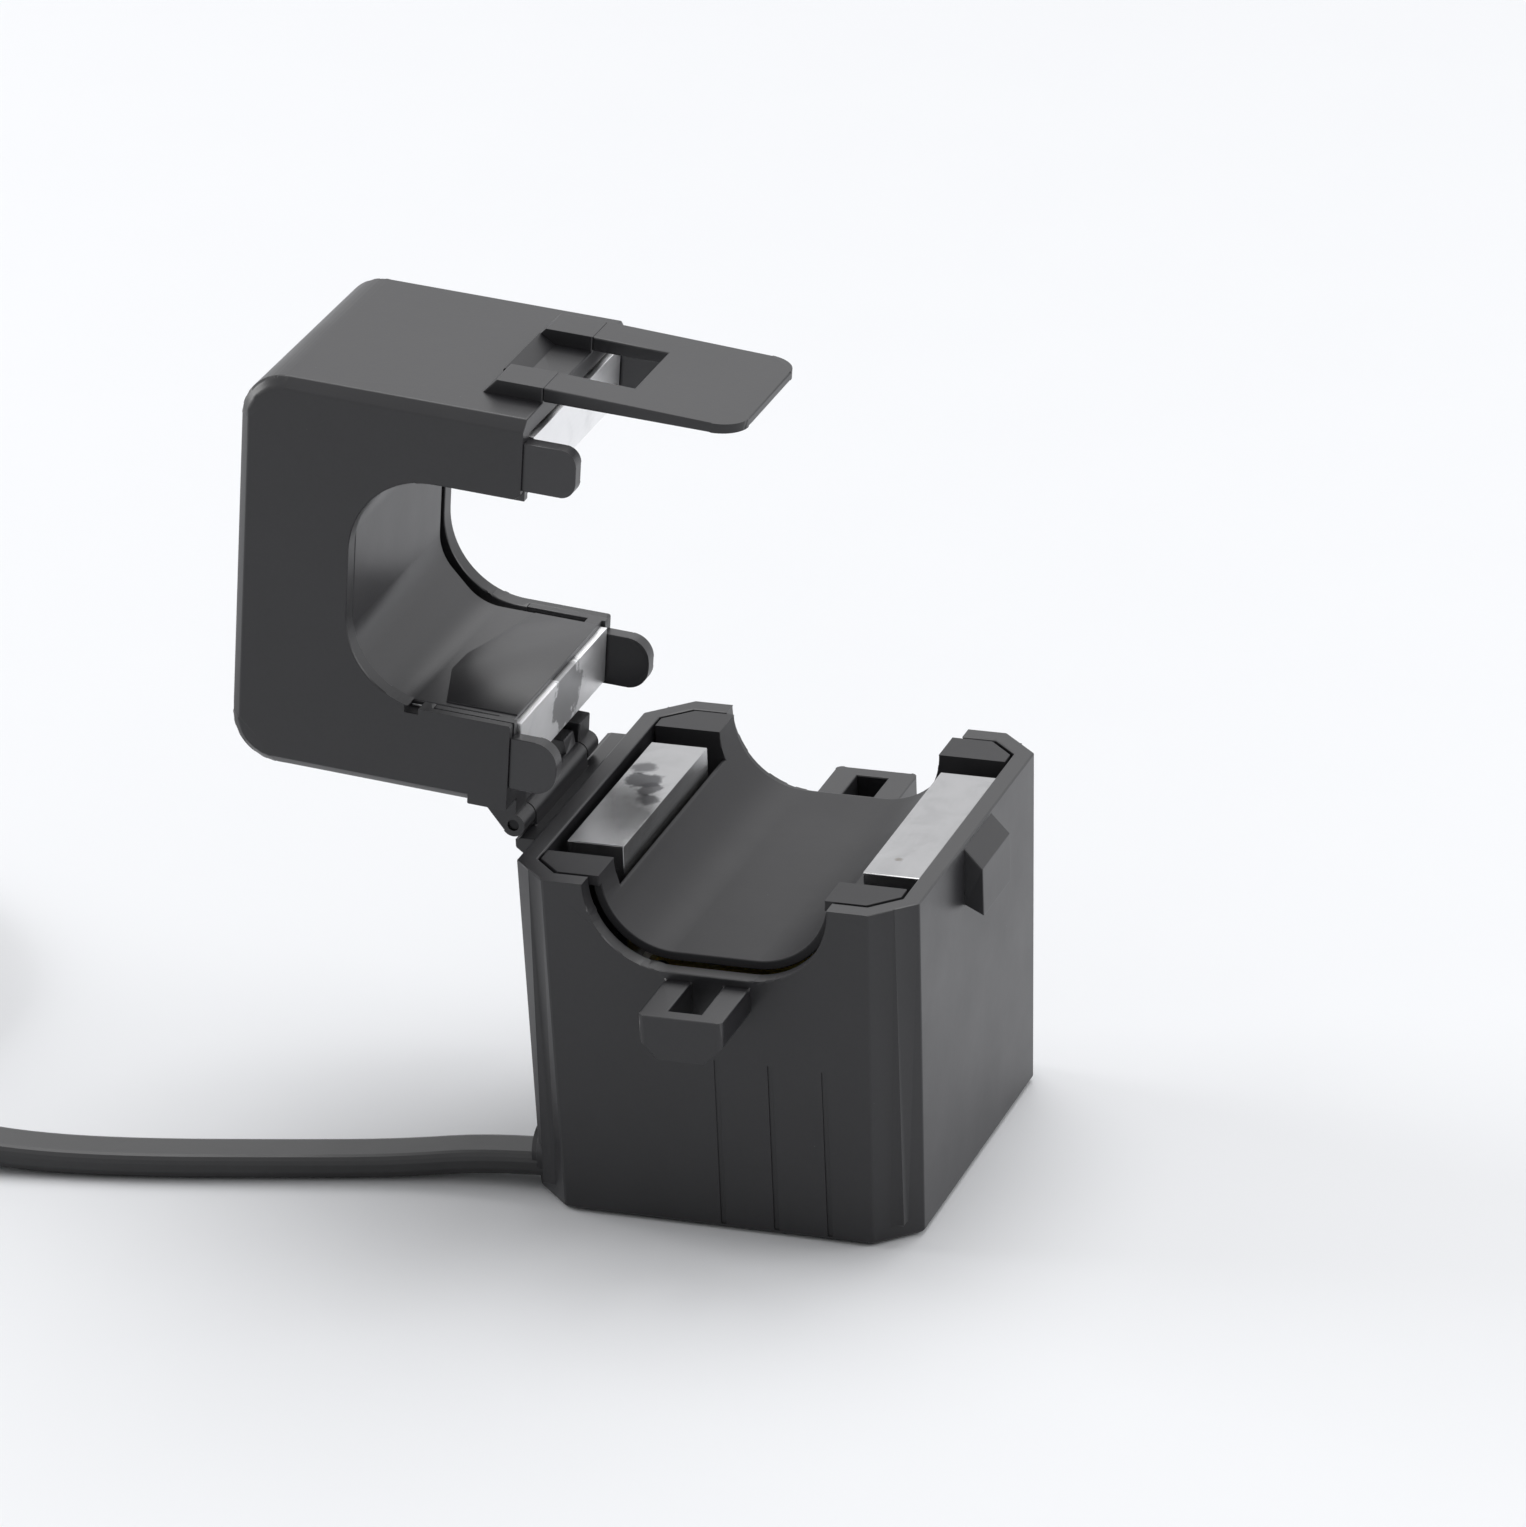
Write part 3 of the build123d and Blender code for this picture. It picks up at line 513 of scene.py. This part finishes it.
dress("bobbin", plain_finish("natural_nylon", (0.70, 0.68, 0.62), (0.80, 0.78, 0.72),
                             patch=300.0, shine=0.42, bumps=0.1))
dress("winding_tape", plain_finish("yellow_tape", (0.68, 0.50, 0.06), (0.78, 0.60, 0.10),
                                   patch=250.0, shine=0.28, bumps=0.15, Coat_Weight=0.3))
dress("inner_wire_a", plain_finish("white_pvc", (0.66, 0.65, 0.62), (0.74, 0.73, 0.70),
                                   patch=300.0, shine=0.4, bumps=0.1))
dress("inner_wire_b", plain_finish("black_pvc", (0.020, 0.020, 0.021), (0.032, 0.032, 0.033),
                                   patch=300.0, shine=0.4, bumps=0.1))
lead_coat = plain_finish("lead_coat", (0.028, 0.028, 0.030), (0.045, 0.045, 0.047),
                         patch=500.0, shine=0.4, bumps=0.1)
shrunk = plain_finish("shrunk_sleeve", (0.024, 0.024, 0.025), (0.040, 0.040, 0.041),
                      patch=700.0, shine=0.5, bumps=0.3)
for tag in ("a", "b"):
    dress("winding_lead_" + tag, lead_coat)
    dress("splice_sleeve_" + tag, shrunk)
foam, shader = finish_of("closed_foam", Specular_IOR_Level=0.3)
cell = Flow.node("ShaderNodeTexVoronoi", Vector=own_place(), Scale=1500.0)
feed(shader, Base_Color=graded(cell, (0.1, (0.02, 0.02, 0.021)), (0.6, (0.06, 0.06, 0.062))),
     Roughness=around(0.85, cell, 0.1), Normal=bumped(cell, 0.6, 0.0002))
dress("core_pad", foam)
enamel, shader = finish_of("enamelled_copper", Metallic=0.85, Specular_IOR_Level=0.5, Coat_Weight=0.5)
turns = Flow.node("ShaderNodeTexWave",
                  {"wave_type": "BANDS", "bands_direction": "X", "wave_profile": "SIN"},
                  Vector=own_place(), Scale=1050.0, Distortion=0.4, Detail=1.0)
feed(shader, Base_Color=graded(turns, (0.1, (0.22, 0.07, 0.025)), (0.7, (0.62, 0.26, 0.11))),
     Roughness=around(0.30, turns, 0.1), Normal=bumped(turns, 0.8, 0.0002))
dress("secondary_winding", enamel)

# The lower core: silicon steel strip wound into a ring and cut in two, with the pole faces ground
# and lapped bright. Its hinge side pole has dark marks painted in its colour, one of them broad and
# faint: partly oil and finger smudges and partly a painted dark reflection of the open cover.
core_ease = 0.00012
pole_face = 0.03905


def near(place, at, reach, blur, warp):
    """One close to a point and nothing far from it, with an uneven edge."""
    gap = Flow.node("ShaderNodeVectorMath", {"operation": "DISTANCE"}, out="Value", n0=place, n1=at)
    return Flow.node("ShaderNodeMapRange", {"interpolation_type": "SMOOTHSTEP"},
                     Value=gap + warp * reach, From_Min=reach + blur, From_Max=reach - blur,
                     To_Min=0.0, To_Max=1.0)


def lapped_steel(name, tone, shine, smudges_and_reflections, specks=()):
    """Ground steel with dark marks, partly smudges and partly painted reflection, and brown specks; each
    mark a place, a reach, a blur and a weight.
    """
    material, shader = finish_of(name, Metallic=0.95, Specular_IOR_Level=0.5)
    place = own_place()
    lay = Flow.node("ShaderNodeMapping", Vector=place, Scale=(40.0, 2.0, 40.0))
    grind = patchy(lay, 60.0, 6.0, Roughness=0.7)
    oil = patchy(place, 150.0, 5.0, Roughness=0.55, Distortion=1.2)
    ragged = patchy(place, 420.0, 5.0, Roughness=0.65) * 2.0 - 1.0
    smudged_and_reflected, brown = (sum(near(place, at, reach, blur, ragged) * weight
                          for at, reach, blur, weight in marks) for marks in (smudges_and_reflections, specks))
    bright = graded(oil * 0.8 + grind * 0.2, (0.30, (tone * 0.90, tone * 0.90, tone * 0.91)),
                    (0.5, (tone, tone, tone * 1.01)), (0.75, (tone * 1.06, tone * 1.06, tone * 1.07)))
    # the near black colour of the marks: partly oil smudge and partly a painted dark reflection
    oiled_and_reflected = tinted(bright, (0.05, 0.05, 0.056, 1.0), smudged_and_reflected)
    feed(shader, Base_Color=tinted(oiled_and_reflected, (0.16, 0.13, 0.09, 1.0), brown),
         Roughness=grind * 0.06 + oil * 0.06 + (shine - 0.06), Normal=bumped(grind, 0.012, 0.00003))
    return material


# dark marks on the hinge side pole: partly oil smudges and partly a painted dark reflection of the open
# cover above it
lower_smudges_and_reflections = [((-0.0176, 0.0068, pole_face), 0.0014, 0.0005, 0.75),
                 ((-0.0166, 0.0034, pole_face), 0.0020, 0.0004, 0.88),
                 ((-0.0152, 0.0014, pole_face), 0.0015, 0.0003, 0.80),
                 ((-0.0144, -0.0014, pole_face), 0.0014, 0.0004, 0.80),
                 ((-0.0175, -0.0090, pole_face), 0.0060, 0.0012, 0.20)]
lower_specks = [((0.01669, -0.00943, pole_face), 0.0005, 0.0002, 0.7),
                ((0.01958, -0.01081, pole_face), 0.0003, 0.0001, 0.7),
                ((0.01750, -0.00700, pole_face), 0.0003, 0.0002, 0.3)]
lower_steel = eased("lower_steel", "lower_core", "base", core_ease)
dress(lower_steel, lapped_steel("lower_lapped", 0.46, 0.22, lower_smudges_and_reflections, lower_specks))

# The bush: a flanged nylon ring pressed into the wall low on the hinge side, where the lead comes
# out. It is moulded in one, and a web across its bore closes on the flat sheath.
bush_ease = 0.0001
web_at, web_radius, web_deep = (-0.0216, -0.0174, 0.0039), 0.00274, 0.0018
web_rim, web_dish = 0.0005, 0.0003
bush = eased("bush", "cord_bush", "base", bush_ease)
dress(bush, case_black)
bpy.ops.object.select_all(action="DESELECT")
bpy.ops.mesh.primitive_cylinder_add(vertices=32, radius=web_radius, depth=web_deep,
                                    location=web_at, rotation=(0, math.radians(90), 0))
web = bpy.context.object
web.name = "bush_web"
settle()
web_mesh = bmesh.new()
web_mesh.from_mesh(web.data)
for face in web_mesh.faces:
    face.select_set(face.normal.x < -0.9)
web_mesh.to_mesh(web.data)
web_mesh.free()
bpy.ops.object.mode_set(mode="EDIT")
bpy.ops.mesh.inset(thickness=web_rim)
bpy.ops.transform.translate(value=(web_dish, 0, 0))
bpy.ops.object.mode_set(mode="OBJECT")
bpy.ops.object.shade_smooth_by_angle(angle=math.radians(30))
dress(web, case_black)
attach(web, "base")

# The hinge pin: drawn steel rod, cut off and pushed in from the front.
# Its front end, from 12 mm in front of the middle, is coloured near black.
pin_dark_from = -0.0120
pin_steel, shader = finish_of("pin_steel", Metallic=0.9, Specular_IOR_Level=0.5)
place = own_place()
along = Flow.node("ShaderNodeSeparateXYZ", out="Y", Vector=place)
drawn = patchy(Flow.node("ShaderNodeMapping", Vector=place, Scale=(20.0, 1.0, 20.0)), 120.0, 4.0)
bright = graded(drawn, (0.3, (0.36, 0.36, 0.37)), (0.7, (0.5, 0.5, 0.51)))
feed(shader, Base_Color=tinted(bright, (0.02, 0.02, 0.021, 1.0), along < pin_dark_from),
     Roughness=around(0.35, drawn, 0.2))
dress("hinge_pin", pin_steel)

# The cover case: the same nylon and satin as the base, hinged to it on the left and standing open.
# Its wide edges are bevelled in the mould, and the window is cut through both of its ends.
cover_shell = eased("cover_shell", "cover_case", "cover", case_ease)
dress(cover_shell, case_black)

# The cover's lining: a thin moulding that lines the window and holds the upper core in.
# On its hinge side it has a raised patch with a sloped upper edge, drawn here on the shut cover.
lining_ease = 0.0001
patch_ease = 0.00006
patch_face = -0.01260     # the lining's face towards the window
patch_proud, patch_sunk = 0.00015, 0.0001
patch_edge = [(-0.0130, 0.03945), (-0.0130, 0.0475), (-0.0049, 0.0499), (-0.0006, 0.0498),
              (0.0030, 0.0488), (0.0125, 0.0467), (0.0125, 0.03945)]
hinge_at = Vector((-0.0256, 0, 0.0394))
open_turn = Matrix.Rotation(math.radians(-84.8), 4, "Y")
opened = Matrix.Translation(hinge_at) @ open_turn @ Matrix.Translation(-hinge_at)


def pushed_out(name, outline, way):
    """A flat outline, given by its corners, pushed out one way into a closed piece."""
    bpy.ops.object.select_all(action="DESELECT")
    bpy.ops.mesh.primitive_circle_add(vertices=len(outline), radius=0.01, fill_type="NGON")
    piece = bpy.context.object
    piece.name = name
    for vertex, at in zip(piece.data.vertices, outline):
        vertex.co = at
    bpy.ops.object.mode_set(mode="EDIT")
    bpy.ops.mesh.select_all(action="SELECT")
    bpy.ops.mesh.extrude_region_move(TRANSFORM_OT_translate={"value": way})
    bpy.ops.mesh.select_all(action="SELECT")
    bpy.ops.mesh.normals_make_consistent(inside=False)
    bpy.ops.object.mode_set(mode="OBJECT")
    return piece


cover_inlay = eased("cover_inlay", "cover_liner", "cover", lining_ease)
lining_black = moulding("lining_black", tone=0.020, shine=0.34, gloss=0.55, dust=0.15)
dress(cover_inlay, lining_black)
patch_back = patch_face - patch_sunk
patch = pushed_out("lining_patch", [(patch_back, y, z) for y, z in patch_edge],
                   (patch_proud + patch_sunk, 0, 0))
ease = patch.modifiers.new("ease", "BEVEL")
ease.width, ease.segments = patch_ease, 2
bpy.ops.object.modifier_apply(modifier="ease")
patch.matrix_world = opened
settle()
bpy.ops.object.shade_smooth_by_angle(angle=math.radians(35))
dress(patch, lining_black)
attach(patch, "cover")

# The upper core and its leaf spring: the same ground steel, pressed out by a strip of spring steel.
# Its colour is painted much paler than the lower core's, a painted highlight for the light its poles
# catch. Its hinge side pole is painted darker in the middle: partly a smudge and partly a painted
# dark reflection.
upper_smudges_and_reflections = [((-0.0244, 0.0011, 0.0492), 0.0043, 0.0005, 0.62)]
upper_steel = eased("upper_steel", "upper_core", "cover", core_ease)
# tone 0.86 against the lower core's 0.46: the same steel painted paler, a painted highlight
dress(upper_steel, lapped_steel("upper_lapped_painted_pale", 0.86, 0.40, upper_smudges_and_reflections))
strip_steel, shader = finish_of("strip_steel", Metallic=1.0, Specular_IOR_Level=0.5)
rolled = patchy(Flow.node("ShaderNodeMapping", Vector=own_place(), Scale=(30.0, 1.0, 30.0)), 90.0, 4.0)
feed(shader, Base_Color=graded(rolled, (0.3, (0.40, 0.40, 0.42)), (0.7, (0.56, 0.56, 0.58))),
     Roughness=around(0.275, rolled, 0.15))
dress("core_spring", strip_steel)

# The latch strap: a broad tongue moulded in one with the cover, with the catch's window in it.
# It bends outwards over the catch as the cover shuts; its tip was trimmed by hand.
tongue = eased("tongue", "latch_strap", "strap", case_ease)
dress(tongue, case_black)

# The window's upper end slopes down to the cover's wall, as the strap's root does beside it.
# It is part of the same moulding, drawn here on the shut cover.
ramp_half = 0.0054
ramp_side = [(0.02240, 0.04540), (0.02338, 0.04540), (0.02360, 0.04521), (0.02252, 0.04340),
             (0.02240, 0.04340)]
ramp = pushed_out("window_ramp", [(x, -ramp_half, z) for x, z in ramp_side], (0, 2 * ramp_half, 0))
ramp.matrix_world = opened
settle()
dress(ramp, case_black)
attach(ramp, "cover")

bpy.context.view_layer.update()
